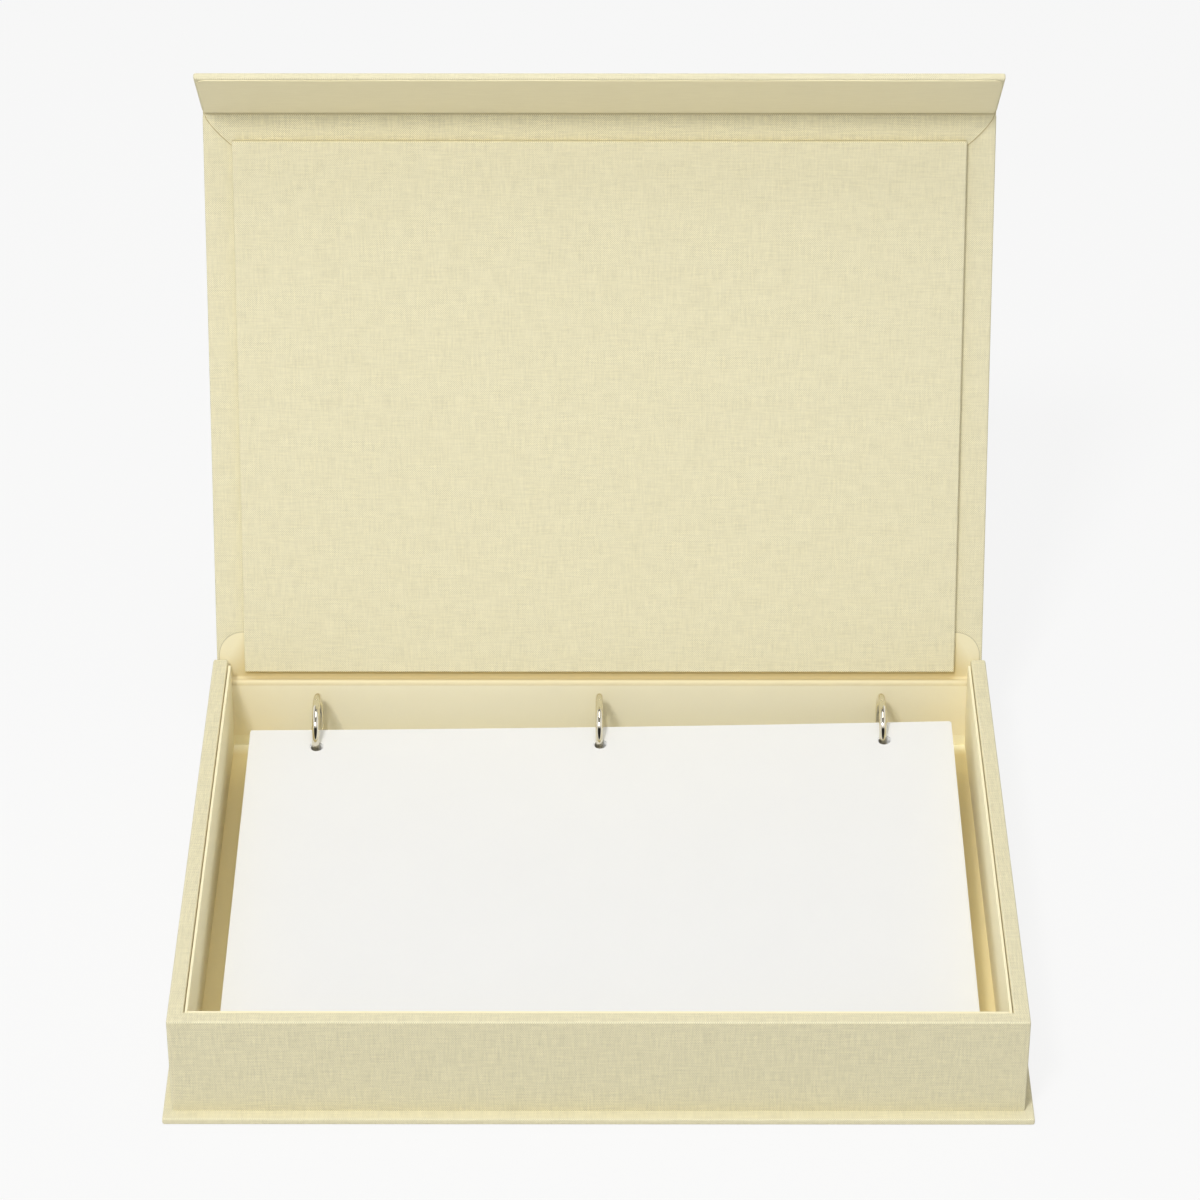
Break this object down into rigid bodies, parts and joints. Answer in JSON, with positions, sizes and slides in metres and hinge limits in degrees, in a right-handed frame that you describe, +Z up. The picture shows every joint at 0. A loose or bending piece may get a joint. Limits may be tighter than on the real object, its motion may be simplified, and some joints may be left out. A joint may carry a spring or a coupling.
{
  "type": "clamshell book box",
  "caption": "Cloth-covered clamshell book box for A4 landscape pages: a tray with binder rings, a hinged lid with a raised panel and a magnetic front flap.",
  "frame": {"origin": "centre of the base board's underside, on the table", "axes": "+X to the right along the box's width, +Y from the front wall to the lid's hinge, +Z up"},
  "size_m": [0.337, 0.3247, 0.3026],
  "materials": {
    "book_cloth": "cream woven book cloth, matt",
    "lining": "cream lining card, smooth and matt",
    "greyboard": "dense grey bookbinder's board, raw",
    "page": "white uncoated paper",
    "ring_metal": "pale champagne-coloured plated steel, polished",
    "steel": "nickel-plated sheet steel",
    "magnet": "bare magnet"
  },
  "bodies": {
    "tray": {"base_board": "greyboard", "base_cloth": "book_cloth", "floor_lining": "lining", "front_board": "greyboard", "left_board": "greyboard", "right_board": "greyboard", "rear_board": "greyboard", "wall_cloth": "book_cloth", "spine_cloth": "book_cloth", "front_lining": "lining", "left_lining": "lining", "right_lining": "lining", "rear_strip": "lining", "lid_hinge_lining": "lining", "lid_hinge_cloth": "book_cloth", "wall_magnets": "magnet", "ring_cover": "steel", "ring_rivets": "steel", "page_stack": "page"},
    "lid": {"lid_board": "greyboard", "lid_cloth": "book_cloth", "panel_board": "greyboard", "panel_cloth": "book_cloth", "lid_strip": "lining", "lid_front_strip": "book_cloth", "flap_hinge_lining": "book_cloth", "flap_hinge_cloth": "book_cloth"},
    "flap": {"flap_board": "greyboard", "flap_cloth": "book_cloth", "flap_lining": "lining", "flap_magnets": "magnet"},
    "front_jaw": {"front_blade": "steel", "front_ring_left": "ring_metal", "front_ring_middle": "ring_metal", "front_ring_right": "ring_metal"},
    "rear_jaw": {"rear_blade": "steel", "rear_ring_left": "ring_metal", "rear_ring_middle": "ring_metal", "rear_ring_right": "ring_metal"},
    "top_page": {"top_page": "page"}
  },
  "joints": [
    {"name": "lid_hinge", "type": "hinge", "parent": "tray", "child": "lid", "pos_m": [0, 0.1204, 0.0412], "axis": [1, 0, 0], "range_deg": [0, 107], "deforming": ["lid_hinge_lining", "lid_hinge_cloth"]},
    {"name": "flap_hinge", "type": "hinge", "parent": "lid", "child": "flap", "pos_m": [0, 0.19697, 0.27043], "axis": [1, 0, 0], "range_deg": [-61, 29], "deforming": ["flap_hinge_lining", "flap_hinge_cloth"]},
    {"name": "front_jaw_open", "type": "hinge", "parent": "tray", "child": "front_jaw", "pos_m": [0, 0.0922, 0.0092], "axis": [1, 0, 0], "range_deg": [0, 6]},
    {"name": "rear_jaw_open", "type": "hinge", "parent": "tray", "child": "rear_jaw", "pos_m": [0, 0.1114, 0.0092], "axis": [1, 0, 0], "range_deg": [-6, 0]},
    {"name": "page_lift", "type": "hinge", "parent": "tray", "child": "top_page", "pos_m": [0, 0.1018, 0.025], "axis": [-1, 0, 0], "range_deg": [0, 6]}
  ],
  "couplings": [
    {"joint": "rear_jaw_open", "follows": "front_jaw_open", "ratio": -1}
  ]
}
